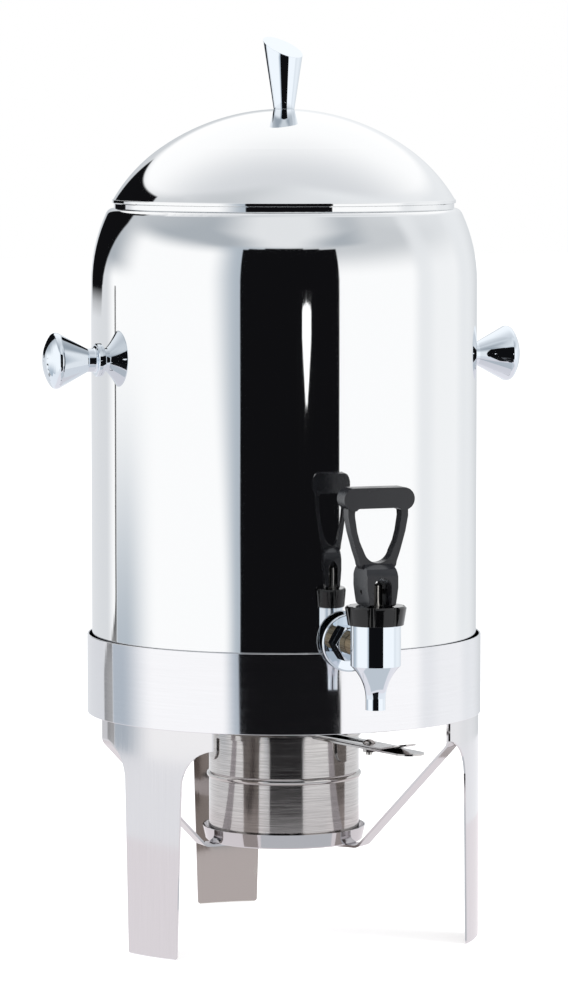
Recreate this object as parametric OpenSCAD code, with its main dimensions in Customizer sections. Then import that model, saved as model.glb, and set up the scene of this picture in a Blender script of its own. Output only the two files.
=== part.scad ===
// Gravity coffee urn: a domed steel vessel that lifts out of a three-legged stand,
// with a spring-closed tap and a fuel burner below. All lengths are millimetres.
// The feet stand on z = 0, the vessel's axis is the Z axis, and the tap points along -Y.

/* [Vessel] */
// Outer radius of the straight wall
vessel_r = 122; // [120:0.5:122]
// Sheet thickness of the vessel wall
vessel_wall = 1.2; // [1:0.1:1.4]
// Height of the underside of the vessel
vessel_base_z = 146.3; // [146.3:0.1:147]
// Height at which the straight wall turns into the dome
dome_z = 415.5; // [405:0.5:420]
// Rise of the whole dome, shoulder and lid together
dome_rise = 109; // [106:0.5:110]
// Radius of the dome's side arc, where it leaves the wall
dome_side_arc = 103; // [100:0.5:104]
// Height of the shoulder's flat top
shoulder_z = 462.2; // [457:0.1:464]
// Radius of the shoulder's rounded edge
shoulder_round = 5.5; // [4:0.5:7]
// Height above the shoulder of the raised seat on which the lid rests
seat_rise = 2.8; // [2:0.1:3.2]
// Width of the flat seat round the filling mouth
seat_w = 5.6; // [5:0.1:7]

/* [Lid] */
// How far the hem round the lid's rim stands out from the dome
lid_hem_proud = 0.65; // [0.4:0.05:1]
// Height of the hem
lid_hem_h = 2.3; // [2:0.1:2.6]
// How far the hem reaches out past the seat
lid_hem_over = 1.1; // [0.8:0.1:1.4]
// Gap between the mouth and the locating skirt inside it
lid_skirt_gap = 0.8; // [0.5:0.1:2]
// Depth of the locating skirt below the seam
lid_skirt_depth = 9.5; // [6:0.5:12]
// Radius of the lid knob at its foot
finial_foot_r = 6.6; // [5.5:0.1:8]
// Radius of the lid knob where the slanted top cuts its axis
finial_top_r = 12.4; // [11:0.1:14]
// Height of the middle of the slanted top
finial_top_z = 562.6; // [550:0.1:566]
// Slant of the top face, in degrees
finial_slant = 28; // [0:1:32]
// Direction in which the slanted top falls, in degrees about Z
finial_turn = -61; // [-180:1:180]

/* [Side knobs] */
// Height of the side knobs' axis
side_knob_z = 368; // [340:1:385]
// Radius of the knob's rim
side_knob_r = 17.6; // [15:0.1:20]
// Radius of the knob's neck
side_knob_neck_r = 7.4; // [6:0.1:9]
// Distance of the knob's outer end from the vessel's axis
side_knob_reach = 157.5; // [155:0.1:160]

/* [Stand] */
// Outer radius of the band round the vessel
band_r = 125; // [125:0.1:126]
// Sheet thickness of the band and the legs
stand_wall = 1.2; // [1:0.1:1.2]
// Height of the band's lower edge
band_low_z = 143; // [141:0.5:144]
// Height of the band's upper edge
band_high_z = 193; // [189:0.5:196]
// Width of a leg where its fillets end
leg_w = 47.4; // [40:0.2:52]
// Width of a leg at the floor
leg_foot_w = 40.8; // [36:0.2:47]
// Radius of the fillets that widen each leg into its shoulder
leg_fillet_r = 25; // [20:0.5:27]
// Width of a leg's shoulder under the band
leg_shoulder_w = 89.2; // [80:0.2:90]
// Height of the shoulder's lower edge
leg_shoulder_z = 132; // [128:0.5:134]
// Directions of the three legs, in degrees about Z
leg_turns = [-150, -30, 90];

/* [Burner] */
// Radius of the tray at its rim
tray_r = 51.8; // [51:0.1:54]
// Height of the tray's underside
tray_z = 60.9; // [58:0.1:60.9]
// Height of the tray's rim
tray_rim_z = 70; // [68:0.1:70]
// Width of the bracket's three straps
strap_w = 14; // [10:0.5:18]
// Thickness of the bracket's straps
strap_t = 1.5; // [1.2:0.1:1.8]
// Turn of each strap from the leg next to it, in degrees
strap_turns = [-23.5, -18, -22];
// Outer radius of the fuel cup
cup_r = 47.8; // [46:0.1:48]
// Height of the fuel cup's underside
cup_z = 62; // [61.2:0.1:62]
// Height of the fuel cup's rim, on which the cover lies
cup_rim_z = 130.3; // [126:0.1:130.3]
// Height of the bead rolled into the cup's wall
cup_bead_z = 103; // [90:0.5:110]
// Radius of the flame hole in the cover
flame_hole_r = 23; // [18:0.5:25]
// Radius of the damper disc that closes the flame hole
damper_r = 28; // [26:0.5:30]
// Direction of the cover's handle bar, in degrees about Z
burner_turn = -75; // [-80:1:-70]
// Distance of the damper's pivot screw from the axis
damper_pivot_r = 97; // [90:0.5:100]
// Width of the cover's handle bar
cover_bar_w = 19; // [15:0.5:20]
// Distance of the handle bar's tip from the axis
cover_bar_reach = 150; // [145:0.5:156]

/* [Tap] */
// Distance of the valve's axis from the vessel's axis
valve_y = 178.5; // [174:0.5:182]
// Height of the threaded shank's axis
shank_z = 200; // [199:0.5:201]
// Outer radius of the shank
shank_r = 7; // [6.5:0.1:7.5]
// Bore radius of the shank
shank_bore_r = 4.5; // [3.5:0.1:5]
// Outer radius of the valve body
valve_r = 15.2; // [14.5:0.1:16]
// Outer radius of the spout's tip
spout_r = 6; // [5.6:0.1:6.5]
// Bore radius of the spout
spout_bore_r = 4.2; // [3:0.1:4.6]
// Radius of the cover disc behind the tap
escutcheon_r = 17.9; // [16:0.1:19]
// Outer radius of the bonnet at its top
bonnet_r = 18.6; // [17.5:0.1:20]
// Outer radius of the bonnet at its bottom
bonnet_foot_r = 16.9; // [16:0.1:18]
// Number of finger flutes round the bonnet
bonnet_flutes = 7; // [5:1:10]

/* [Tap lever] */
// Height of the pin on which the lever rocks
lever_pin_z = 236; // [235:0.1:237]
// Lever of the heel: millimetres that the stem rises for each radian of tilt
heel_rise = 7.8; // [6:0.1:8]
// Largest tilt of the lever, in degrees
lever_tilt_max = 30; // [20:1:32]
// Length of the grip bar
grip_w = 44.6; // [42:0.1:48]
// Height of the grip bar's section
grip_h = 13.8; // [12:0.1:14]
// Depth of the grip bar, front to back
grip_d = 14; // [12:0.1:15]
// Height of the grip bar's top
grip_top_z = 299.1; // [297:0.1:302]

/* [Hidden] */
$fn = 96;

eps = 0.01;
running_gap = 0.05;      // radial clearance of a pin or stem that turns or slides
seat_gap = 0.3;          // gap under a piece that lifts off
mirror_steel = "silver";
satin_steel = "lightgray";
brushed_steel = "darkgray";
black_plastic = [0.12, 0.12, 0.13];
brass = "goldenrod";
silicone = "dimgray";

// The dome is a two-arc oval: a side arc that leaves the wall upright, and a crown arc
// that meets it tangentially and is centred on the axis.
side_arc_x = vessel_r - dome_side_arc;
function dome_r_at(z) = side_arc_x + sqrt(pow(dome_side_arc, 2) - pow(z - dome_z, 2));
crown_arc = (side_arc_x * side_arc_x + dome_rise * dome_rise - dome_side_arc * dome_side_arc)
    / (2 * (dome_rise - dome_side_arc));
crown_z = dome_rise - crown_arc;
crown_centre_z = dome_z + crown_z;

// The lid's hem follows the dome, and the seat, mouth and skirt follow the hem.
seam_z = shoulder_z + seat_rise;
lid_low_z = seam_z + seat_gap;
lid_hem_r = dome_r_at(lid_low_z + lid_hem_h) + lid_hem_proud;
seat_r = lid_hem_r - lid_hem_over;
mouth_r = seat_r - seat_w;
lid_skirt_r = mouth_r - lid_skirt_gap;

vessel_inner_r = vessel_r - vessel_wall;
stand_inner_r = band_r - stand_wall;
leg_r = stand_inner_r;
leg_inner_r = leg_r - stand_wall;
leg_top_z = 155;

// ---- shared profiles -------------------------------------------------------

// A flat sector of a circle, from angle a0 to a1, reaching out to len.
module wedge(len, a0, a1) {
    am = (a0 + a1) / 2;
    polygon([
        [0, 0],
        len * [cos(a0), sin(a0)],
        1.3 * len * [cos(am), sin(am)],
        len * [cos(a1), sin(a1)]
    ]);
}

// One quarter of the dome's oval, shrunk by a sheet thickness.
module dome_quarter(inset) {
    crown_a = atan2(-crown_z, side_arc_x);
    intersection() {
        square([vessel_r + 1, dome_rise + 1]);
        union() {
            translate([side_arc_x, 0]) circle(dome_side_arc - inset);
            translate([0, crown_z]) intersection() {
                circle(crown_arc - inset);
                wedge(2 * crown_arc, crown_a, 90);
            }
        }
    }
}

// The vessel's and lid's outline in one piece, shrunk by a sheet thickness.
module vessel_outline(inset) {
    translate([0, dome_z]) dome_quarter(inset);
    translate([0, vessel_base_z]) square([vessel_r - inset, dome_z - vessel_base_z + eps]);
}

// Points along an arc, without its first one.
function arc(centre, r, a0, a1, steps) = [
    for (k = [1:steps]) let (a = a0 + (a1 - a0) * k / steps) centre + r * [cos(a), sin(a)]
];

// A strip of sheet bent along a list of points, with a bend radius on its middle line.
module bent_strip(points, t, bend_r) {
    polygon(concat(strip_side(points, t / 2, bend_r), reversed(strip_side(points, -t / 2, bend_r))));
}
function reversed(list) = [for (i = [len(list) - 1:-1:0]) list[i]];
function mirrored(half) = concat(half, [for (p = reversed(half)) [-p[0], p[1]]]);
function left_of(a) = [-sin(a), cos(a)];
function heading(p, i) = atan2(p[i + 1][1] - p[i][1], p[i + 1][0] - p[i][0]);

// One side of the strip, at an offset to the left of its middle line.
function strip_side(p, offset, bend_r) = let (last = len(p) - 1) concat(
    [p[0] + offset * left_of(heading(p, 0))],
    [for (i = [1:1:last - 1]) each strip_bend(p, i, offset, bend_r)],
    [p[last] + offset * left_of(heading(p, last - 1))]
);
function strip_bend(p, i, offset, bend_r) = let (
    a = heading(p, i - 1),
    b = heading(p, i),
    side = sign(b - a),
    start = p[i] - bend_r * tan(abs(b - a) / 2) * [cos(a), sin(a)],
    centre = start + side * bend_r * left_of(a),
    r = bend_r - side * offset
) concat([centre - side * r * left_of(a)], arc(centre, r, a - side * 90, b - side * 90, 6));

// Stands a profile drawn as (radius, height) in the plane that faces a direction.
module strap(turn, w) {
    rotate([0, 0, turn]) rotate([90, 0, 0])
        linear_extrude(w, center = true) children();
}

// Points local +Z away from the axis in a direction, at a height.
module outward(turn, z) {
    rotate([0, 0, turn]) translate([0, 0, z]) rotate([0, 90, 0]) children();
}

module tube(r_out, r_in, z0, z1) {
    translate([0, 0, z0]) difference() {
        cylinder(r = r_out, h = z1 - z0);
        translate([0, 0, -1]) cylinder(r = r_in, h = z1 - z0 + 2);
    }
}

// ---- vessel ----------------------------------------------------------------

pan_joint_z = vessel_base_z + 10;
lip_depth = 8.5;
lip_hem_r = 1.4;
tap_hole_r = shank_r + 0.4;
knob_screw_r = 3;

// The vessel below its flat top: the shoulder's edge is an arc that touches the dome's
// side arc and the top.
module shoulder_outline(inset) {
    edge_z = shoulder_z - shoulder_round;
    reach = dome_side_arc - shoulder_round;
    edge_x = side_arc_x + sqrt(pow(reach, 2) - pow(edge_z - dome_z, 2));
    edge_a = atan2(edge_z - dome_z, edge_x - side_arc_x);
    difference() {
        vessel_outline(inset);
        translate([-1, shoulder_z - inset]) square([vessel_r + 2, dome_rise]);
        translate([edge_x, edge_z]) difference() {
            wedge(2 * shoulder_round, edge_a, 90);
            circle(shoulder_round - inset);
        }
    }
}

module vessel_shell() {
    inner_x = seat_r - vessel_wall;
    color(mirror_steel) difference() {
        rotate_extrude($fn = 180) {
            // wall and shoulder
            difference() {
                shoulder_outline(0);
                shoulder_outline(vessel_wall);
                translate([-1, pan_joint_z]) square([inner_x + 1, dome_rise + dome_z]);
                translate([-1, 0]) square([vessel_r + 2, pan_joint_z]);
            }
            // raised seat that carries the lid
            translate([inner_x, shoulder_z - vessel_wall])
                square([vessel_wall, seat_rise + vessel_wall]);
            translate([mouth_r, seam_z - vessel_wall]) square([seat_r - mouth_r, vessel_wall]);
            // lip of the mouth, turned down, with its edge rolled outwards
            translate([mouth_r, seam_z - lip_depth]) square([vessel_wall, lip_depth]);
            translate([mouth_r + lip_hem_r, seam_z - lip_depth]) circle(lip_hem_r);
        }
        outward(-90, shank_z) cylinder(r = tap_hole_r, h = vessel_r + 1);
        for (turn = [0, 180])
            outward(turn, side_knob_z) cylinder(r = knob_screw_r, h = vessel_r + 1);
    }
}

module vessel_base_pan() {
    corner_r = 8;
    lap_h = 8;
    color(mirror_steel) rotate_extrude($fn = 180) {
        difference() {
            pan_outline(0, corner_r);
            pan_outline(vessel_wall, corner_r);
        }
        // joggled edge that laps inside the shell
        translate([vessel_inner_r - vessel_wall, pan_joint_z - 2])
            square([vessel_wall, lap_h + 2]);
    }
}

module pan_outline(inset, corner_r) {
    top_z = pan_joint_z + (inset > 0 ? 1 : 0);
    translate([0, vessel_base_z + inset]) square([vessel_r - corner_r, top_z - vessel_base_z - inset]);
    translate([0, vessel_base_z + corner_r])
        square([vessel_r - inset, top_z - vessel_base_z - corner_r]);
    translate([vessel_r - corner_r, vessel_base_z + corner_r]) intersection() {
        circle(corner_r - inset);
        translate([-eps, -corner_r]) square([corner_r + eps, corner_r + eps]);
    }
}

// ---- lid -------------------------------------------------------------------

lid_wall = 1;
lid_hem_fold = 1.5;
finial_screw_r = 2.5;
finial_screw_len = 18;
lid_top_z = crown_centre_z + crown_arc;

// Hem of the lid's rim: a flat band with rounded edges, turned down below the dome.
module lid_hem_profile() {
    edge = 0.5;
    back = lid_hem_r - lid_hem_fold;
    polygon(concat(
        [[back, lid_low_z + lid_hem_h], [back, lid_low_z]],
        [[lid_hem_r - edge, lid_low_z]],
        arc([lid_hem_r - edge, lid_low_z + edge], edge, -90, 0, 4),
        [[lid_hem_r, lid_low_z + lid_hem_h - edge]],
        arc([lid_hem_r - edge, lid_low_z + lid_hem_h - edge], edge, 0, 90, 4)
    ));
}

module lid_dome() {
    color(mirror_steel) difference() {
        rotate_extrude($fn = 180) {
            difference() {
                vessel_outline(0);
                vessel_outline(lid_wall);
                translate([-1, 0]) square([vessel_r + 2, lid_low_z + lid_hem_h - 0.6]);
            }
            lid_hem_profile();
        }
        translate([0, 0, lid_top_z - 10]) cylinder(r = finial_screw_r, h = 20);
    }
}

// Flat ring inside the lid's hem, turned down into a skirt that finds the mouth.
module lid_locating_rim() {
    skirt_in_r = lid_skirt_r - lid_wall;
    color(mirror_steel) rotate_extrude($fn = 180) {
        translate([skirt_in_r, lid_low_z])
            square([lid_hem_r - lid_hem_fold - skirt_in_r, lid_wall]);
        translate([skirt_in_r, lid_low_z - lid_skirt_depth])
            square([lid_wall, lid_skirt_depth + eps]);
    }
}

// Inverted cone with a slanted, slightly rounded top, seated on the crown.
module lid_knob() {
    flare = (finial_top_r - finial_foot_r) / (finial_top_z - lid_top_z);
    rise = finial_top_z - lid_top_z + 14;
    below = 3;
    color(mirror_steel) difference() {
        intersection() {
            translate([0, 0, lid_top_z - below]) cylinder(
                r1 = finial_foot_r - flare * below, r2 = finial_foot_r + flare * rise,
                h = rise + below);
            translate([0, 0, finial_top_z]) rotate([0, 0, finial_turn])
                rotate([0, finial_slant, 0]) translate([-40, -40, -80]) cube([80, 80, 80]);
        }
        translate([0, 0, crown_centre_z]) sphere(r = crown_arc, $fn = 180);
        translate([0, 0, lid_top_z - 10]) cylinder(r = finial_screw_r, h = 10 + finial_screw_len - 4);
    }
}

lid_washer_r = 7;
lid_washer_t = 1.2;
// the flat washer touches the hollow crown along its own rim
lid_washer_z = crown_centre_z + sqrt(pow(crown_arc - lid_wall, 2) - pow(lid_washer_r, 2))
    - lid_washer_t;

module lid_knob_washer() {
    color(mirror_steel)
        tube(lid_washer_r, finial_screw_r, lid_washer_z, lid_washer_z + lid_washer_t);
}

module lid_knob_screw() {
    head_h = 3;
    color(mirror_steel) {
        difference() {
            translate([0, 0, lid_washer_z - head_h]) cylinder(r = 4.5, h = head_h);
            translate([0, 0, lid_washer_z - head_h - 1]) cylinder(r = 1.8, h = 2.6, $fn = 6);
        }
        translate([0, 0, lid_washer_z - eps])
            cylinder(r = finial_screw_r, h = lid_top_z + finial_screw_len - 4 - lid_washer_z);
    }
}

// ---- side knobs --------------------------------------------------------------

collar_depth = 2.2;
collar_r = 10.4;
knob_root = vessel_r + collar_depth;
knob_rim_round = 3.2;
knob_neck_len = 5.5;
knob_neck_flare = 1.6;
knob_rim_x = side_knob_reach - 7.8;

// Profile of a side knob as (distance from the vessel's axis, radius): flared neck, cone,
// rounded rim, and an end cap whose arc runs into the rim without an edge.
module side_knob_outline() {
    rim = [knob_rim_x, side_knob_r - knob_rim_round];
    gap = side_knob_reach - knob_rim_x - knob_rim_round;
    cap_r = knob_rim_round + (gap * gap + rim[1] * rim[1]) / (2 * gap);
    cap = [side_knob_reach - cap_r, 0];
    cap_a = atan2(rim[1], rim[0] - cap[0]);
    neck = [knob_root + knob_neck_len, side_knob_neck_r];
    cone_a = atan2(rim[1] - neck[1], rim[0] - neck[0]) + asin(knob_rim_round / norm(rim - neck));
    flare = [knob_root + knob_neck_flare, side_knob_neck_r + knob_neck_flare];
    polygon(concat(
        [[knob_root, 0], [knob_root, side_knob_neck_r + knob_neck_flare]],
        arc(flare, knob_neck_flare, -180, -90, 5),
        [neck],
        [rim + knob_rim_round * left_of(cone_a)],
        arc(rim, knob_rim_round, cone_a + 90, cap_a, 12),
        arc(cap, cap_r, cap_a, 0, 9)
    ));
}

module side_knob(turn) {
    color(mirror_steel) rotate([0, 0, turn]) translate([0, 0, side_knob_z]) rotate([0, 90, 0])
        difference() {
            rotate_extrude() rotate(90) mirror([0, 1]) side_knob_outline();
            translate([0, 0, knob_root - 1]) cylinder(r = knob_screw_r, h = 16);
        }
}

module side_knob_left() side_knob(180);
module side_knob_right() side_knob(0);

module side_knob_collars() {
    back = vessel_r - 2;
    edge = 0.6;
    color(mirror_steel) for (turn = [0, 180]) difference() {
        outward(turn, side_knob_z) rotate_extrude() polygon([
            [knob_screw_r, back], [collar_r, back], [collar_r, knob_root - edge],
            [collar_r - edge, knob_root], [knob_screw_r, knob_root]
        ]);
        translate([0, 0, side_knob_z - 30]) cylinder(r = vessel_r, h = 60, $fn = 180);
    }
}

knob_washer_x = vessel_inner_r - 1.5;

module side_knob_washers() {
    color(mirror_steel) for (turn = [0, 180]) intersection() {
        outward(turn, side_knob_z) translate([0, 0, knob_washer_x]) difference() {
            cylinder(r = 8, h = 3);
            translate([0, 0, -1]) cylinder(r = knob_screw_r, h = 5);
        }
        translate([0, 0, side_knob_z - 30]) cylinder(r = vessel_inner_r, h = 60, $fn = 180);
    }
}

module side_knob_screws() {
    head_h = 3.6;
    color(mirror_steel) for (turn = [0, 180]) outward(turn, side_knob_z) {
        difference() {
            translate([0, 0, knob_washer_x - head_h]) cylinder(r = 5.5, h = head_h);
            translate([0, 0, knob_washer_x - head_h - 1]) cylinder(r = 2.2, h = 3, $fn = 6);
        }
        translate([0, 0, knob_washer_x - eps])
            cylinder(r = knob_screw_r, h = knob_root + 15 - knob_washer_x);
    }
}

// ---- tap fittings through the wall -----------------------------------------------

escutcheon_y = 128.5;      // back of the escutcheon's disc, in front of the band
escutcheon_t = 3;
escutcheon_hub_r = 10;
lock_nut_y = escutcheon_y + escutcheon_t;
lock_nut_t = 8.3;
lock_nut_flats = 20.6;
shank_tail_y = 106;
seal_t = 1.5;
shank_seat_y = valve_y - 10.6;

// A hexagonal nut along local Z, with its corners chamfered to the across-flats circle.
module hex_nut(flats, h, bore_r, z) {
    corner_r = flats / 2 / cos(30);
    chamfer = corner_r - flats / 2;
    translate([0, 0, z]) difference() {
        intersection() {
            cylinder(r = corner_r, h = h, $fn = 6);
            rotate_extrude() polygon([
                [0, 0], [corner_r, 0], [corner_r, h - chamfer * 0.7],
                [flats / 2 * 0.97, h], [0, h]
            ]);
        }
        translate([0, 0, -1]) cylinder(r = bore_r, h = h + 2);
    }
}

module tap_outer_seal() {
    color(silicone) difference() {
        outward(-90, shank_z) translate([0, 0, vessel_r - 2]) difference() {
            cylinder(r = 9.4, h = seal_t + 2);
            translate([0, 0, -1]) cylinder(r = shank_r, h = seal_t + 4);
        }
        translate([0, 0, shank_z - 30]) cylinder(r = vessel_r, h = 60, $fn = 180);
    }
}

// Stepped disc: its hub passes through the band's notch and presses on the seal.
module tap_escutcheon() {
    hub_y = vessel_r + seal_t;
    edge = 0.8;
    color(mirror_steel) outward(-90, shank_z) rotate_extrude() polygon([
        [shank_r, hub_y], [escutcheon_hub_r, hub_y], [escutcheon_hub_r, escutcheon_y],
        [escutcheon_r, escutcheon_y], [escutcheon_r, lock_nut_y - edge],
        [escutcheon_r - edge, lock_nut_y], [shank_r, lock_nut_y]
    ]);
}

module tap_lock_nut() {
    color(mirror_steel) outward(-90, shank_z) rotate([0, 0, 30])
        hex_nut(lock_nut_flats, lock_nut_t, shank_r, lock_nut_y);
}

module tap_shank() {
    color(brass) outward(-90, shank_z) rotate_extrude() polygon([
        [shank_bore_r, shank_tail_y], [shank_r - 0.8, shank_tail_y],
        [shank_r, shank_tail_y + 0.8], [shank_r, shank_seat_y], [shank_bore_r, shank_seat_y]
    ]);
}

module tap_inner_seal() {
    color(silicone) intersection() {
        outward(-90, shank_z) translate([0, 0, vessel_inner_r - seal_t - 0.6]) difference() {
            cylinder(r = 12, h = 5);
            translate([0, 0, -1]) cylinder(r = shank_r, h = 7);
        }
        translate([0, 0, shank_z - 30]) cylinder(r = vessel_inner_r, h = 60, $fn = 180);
    }
}

module tap_inner_nut() {
    nut_t = 6;
    color(brass) outward(-90, shank_z)
        hex_nut(22, nut_t, shank_r, vessel_inner_r - seal_t - 0.6 - nut_t);
}

// ---- tap valve -------------------------------------------------------------------

spout_tip_z = 164.5;
spout_top_z = 170.5;
valve_low_z = 191.3;
valve_top_z = 216;
bonnet_top_z = 227.6;
chamber_r = 10;
chamber_low_z = 193.5;
seat_z = 195;
bonnet_neck_r = 12;
bonnet_neck_z = 208.5;
bonnet_bore_r = 9;
bonnet_roof_z = 224;
stem_r = 4;

module at_valve() translate([0, -valve_y, 0]) children();

// Outline of the valve's casting: a straight drum, a hollow-cheeked taper and a tip.
module valve_outline() {
    taper_h = valve_low_z - spout_top_z;
    taper_in = valve_r - spout_r;
    cheek_r = (taper_in * taper_in + taper_h * taper_h) / (2 * taper_in);
    translate([0, valve_low_z]) square([valve_r, valve_top_z - valve_low_z]);
    translate([0, spout_tip_z]) square([spout_r, spout_top_z - spout_tip_z + eps]);
    difference() {
        translate([0, spout_top_z]) square([valve_r, taper_h + eps]);
        translate([spout_r + cheek_r, spout_top_z]) circle(cheek_r, $fn = 180);
    }
}

module tap_valve_body() {
    seat_ring_r = 6;
    color(mirror_steel) difference() {
        at_valve() rotate_extrude() difference() {
            valve_outline();
            // outlet, chamber with a raised seat, and mouth for the bonnet's neck
            translate([-1, 0]) square([spout_bore_r + 1, 300]);
            translate([0, seat_z]) square([chamber_r, valve_top_z]);
            translate([seat_ring_r, chamber_low_z]) square([chamber_r - seat_ring_r, 10]);
            translate([0, bonnet_neck_z]) square([bonnet_neck_r, valve_top_z]);
        }
        outward(-90, shank_z) translate([0, 0, 150])
            cylinder(r = shank_r, h = shank_seat_y - 150);
        outward(-90, shank_z) translate([0, 0, 150]) cylinder(r = shank_bore_r, h = valve_y - 150);
    }
}

// Screw cap of the valve: flared, with upright finger flutes, and a bored guide roof.
module tap_bonnet() {
    flute_r = 2.2;
    first_flute = -116;
    edge = 1.2;
    color(black_plastic) at_valve() difference() {
        rotate_extrude() polygon([
            [stem_r + running_gap, bonnet_roof_z], [bonnet_bore_r, bonnet_roof_z],
            [bonnet_bore_r, bonnet_neck_z], [bonnet_neck_r, bonnet_neck_z],
            [bonnet_neck_r, valve_top_z], [bonnet_foot_r, valve_top_z],
            [bonnet_r, bonnet_top_z - edge], [bonnet_r - edge, bonnet_top_z],
            [stem_r + running_gap, bonnet_top_z]
        ]);
        for (i = [0:bonnet_flutes - 1])
            rotate([0, 0, i * 360 / bonnet_flutes + first_flute])
                translate([bonnet_foot_r + flute_r - 0.6, 0, valve_top_z - 1])
                    cylinder(r = flute_r, h = 20, $fn = 24);
    }
}

stem_foot_z = 198.5;
collar_z = 202.5;
collar_t = 2;
stem_top_z = lever_pin_z + 5;
pin_r = 1.6;

module tap_stem() {
    color(mirror_steel) at_valve() difference() {
        union() {
            translate([0, 0, stem_foot_z]) cylinder(r = stem_r, h = stem_top_z - stem_foot_z - 1);
            translate([0, 0, stem_top_z - 1 - eps]) cylinder(r1 = stem_r, r2 = stem_r - 1, h = 1 + eps);
            translate([0, 0, collar_z]) cylinder(r = bonnet_bore_r - 0.6, h = collar_t);
        }
        translate([-20, 0, lever_pin_z]) rotate([0, 90, 0])
            cylinder(r = pin_r + running_gap, h = 40);
    }
}

// Silicone cup on the stem's foot that closes on the raised seat.
module tap_seat_cup() {
    cup_low_z = seat_z + seat_gap;
    color(silicone) at_valve() rotate_extrude() polygon([
        [0, cup_low_z], [6.6, cup_low_z], [8, cup_low_z + 2.4], [8, collar_z],
        [stem_r, collar_z], [stem_r, stem_foot_z], [0, stem_foot_z]
    ]);
}

// Closing spring between the stem's collar and the bonnet's roof, with the wire
// swept along a helix.
spring_wire_r = 0.55;
spring_mid_r = 6.6;
spring_turns = 5;
spring_rings = 12;
spring_sides = 6;
spring_low_z = collar_z + collar_t + spring_wire_r + 0.05;
spring_high_z = bonnet_roof_z - spring_wire_r - 0.05;

function spring_ring(i) = let (
    share = i / (spring_turns * spring_rings),
    a = 360 * spring_turns * share,
    z = spring_low_z + (spring_high_z - spring_low_z) * share
) [
    for (k = [0:spring_sides - 1])
        let (b = 360 * k / spring_sides, r = spring_mid_r + spring_wire_r * cos(b))
        [r * cos(a), r * sin(a), z + spring_wire_r * sin(b)]
];

module tap_spring() {
    last = spring_turns * spring_rings;
    rings = [for (i = [0:last]) each spring_ring(i)];
    side_faces = [
        for (i = [0:last - 1], k = [0:spring_sides - 1])
            let (a = i * spring_sides + k, b = i * spring_sides + (k + 1) % spring_sides)
            each [[a, b, b + spring_sides], [a, b + spring_sides, a + spring_sides]]
    ];
    end_faces = [
        [for (k = [spring_sides - 1:-1:0]) k],
        [for (k = [0:spring_sides - 1]) last * spring_sides + k]
    ];
    color(mirror_steel) at_valve() polyhedron(rings, concat(side_faces, end_faces));
}

// ---- tap lever -------------------------------------------------------------------

block_w = 19.5;
block_top_z = 251;
slot_w = 11.2;
slot_top_z = 245.2;
heel_h = lever_pin_z - bonnet_top_z - 0.1;
yoke_w = 37.9;
yoke_neck_w = 22.8;
yoke_d = 9;
window_w = 29.4;
window_low_z = 253.6;
window_bow_r = 9.2;
grip_low_z = grip_top_z - grip_h;
grip_relief = 1.5;         // how far the window cuts into the grip bar

// Heel of the lever seen from the side, about its pin. Each heel is the involute of a
// circle as large as the stem's rise for each radian, so the lift follows the tilt evenly.
function heel_point(a) = let (h = heel_h + heel_rise * a * PI / 180)
    [heel_rise * cos(a) + h * sin(a), -(h * cos(a) - heel_rise * sin(a))];
heel_half = [for (i = [0:6]) heel_point(lever_tilt_max * i / 6)];

module lever_side_outline() {
    widest = heel_half[6][0];
    top = block_top_z - lever_pin_z;
    polygon(mirrored(concat(heel_half, [
        [widest + 0.4, -2], [widest + 0.2, top - 5], [widest - 2.4, top - 0.6],
        [widest - 5, top + 0.4], [yoke_d / 2, top + 2]
    ])));
}

// Front outline of the block: upright cheeks that draw in a little towards the bonnet.
module block_front_outline() {
    low = bonnet_top_z;
    half = block_w / 2;
    polygon(mirrored([
        [half - 1.6, low], [half, low + 12], [half, block_top_z - 3], [half - 1, block_top_z + 3]
    ]));
}

module slot_outline() {
    translate([-slot_w / 2, 0]) square([slot_w, slot_top_z - slot_w / 2]);
    translate([0, slot_top_z - slot_w / 2]) circle(slot_w / 2);
}

// Window of the yoke: a round bottom whose sides open out to the grip, where two arcs
// turn them in under the bar.
module window_outline() {
    side_a = 12;
    corner_r = 3;
    c = window_low_z + window_bow_r;
    top = grip_low_z + grip_relief;
    half = window_w / 2;
    polygon(concat(
        arc([0, c], window_bow_r, -180 + side_a, -side_a, 16),
        [[half - 3, c + 3.9], [half - 1.4, c + 9.9], [half, c + 19]],
        arc([half - corner_r, top - corner_r], corner_r, 0, 90, 5),
        arc([corner_r - half, top - corner_r], corner_r, 90, 180, 5),
        [[-half, c + 19], [1.4 - half, c + 9.9], [3 - half, c + 3.9]]
    ));
}

module yoke_outline() {
    half = yoke_w / 2;
    neck = yoke_neck_w / 2;
    polygon(mirrored([
        [block_w / 2 - 0.6, block_top_z - 1.5], [neck - 0.4, block_top_z + 0.6],
        [neck, block_top_z + 1.5], [neck + 0.4, window_low_z + 1.1],
        [half - 5.1, window_low_z + 7.1], [half - 3.4, window_low_z + 13.1],
        [half - 1.7, window_low_z + 19.1], [half, window_low_z + 28.1], [half, grip_low_z + 3]
    ]));
}

module grip_outline() {
    end_r = grip_h / 2;
    for (side = [-1, 1])
        translate([side * (grip_w / 2 - end_r), grip_low_z + end_r]) circle(end_r);
    translate([-grip_w / 2 + end_r, grip_low_z]) square([grip_w - 2 * end_r, grip_h]);
}

module front_extrude(d) rotate([90, 0, 0]) linear_extrude(d, center = true) children();

module tap_lever() {
    color(black_plastic) at_valve() difference() {
        union() {
            front_extrude(grip_d) grip_outline();
            front_extrude(yoke_d) yoke_outline();
            intersection() {
                front_extrude(60) block_front_outline();
                translate([0, 0, lever_pin_z]) rotate([90, 0, 90])
                    linear_extrude(60, center = true) lever_side_outline();
            }
        }
        front_extrude(60) window_outline();
        front_extrude(60) slot_outline();
        translate([-20, 0, lever_pin_z]) rotate([0, 90, 0]) cylinder(r = pin_r, h = 40);
    }
}

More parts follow.
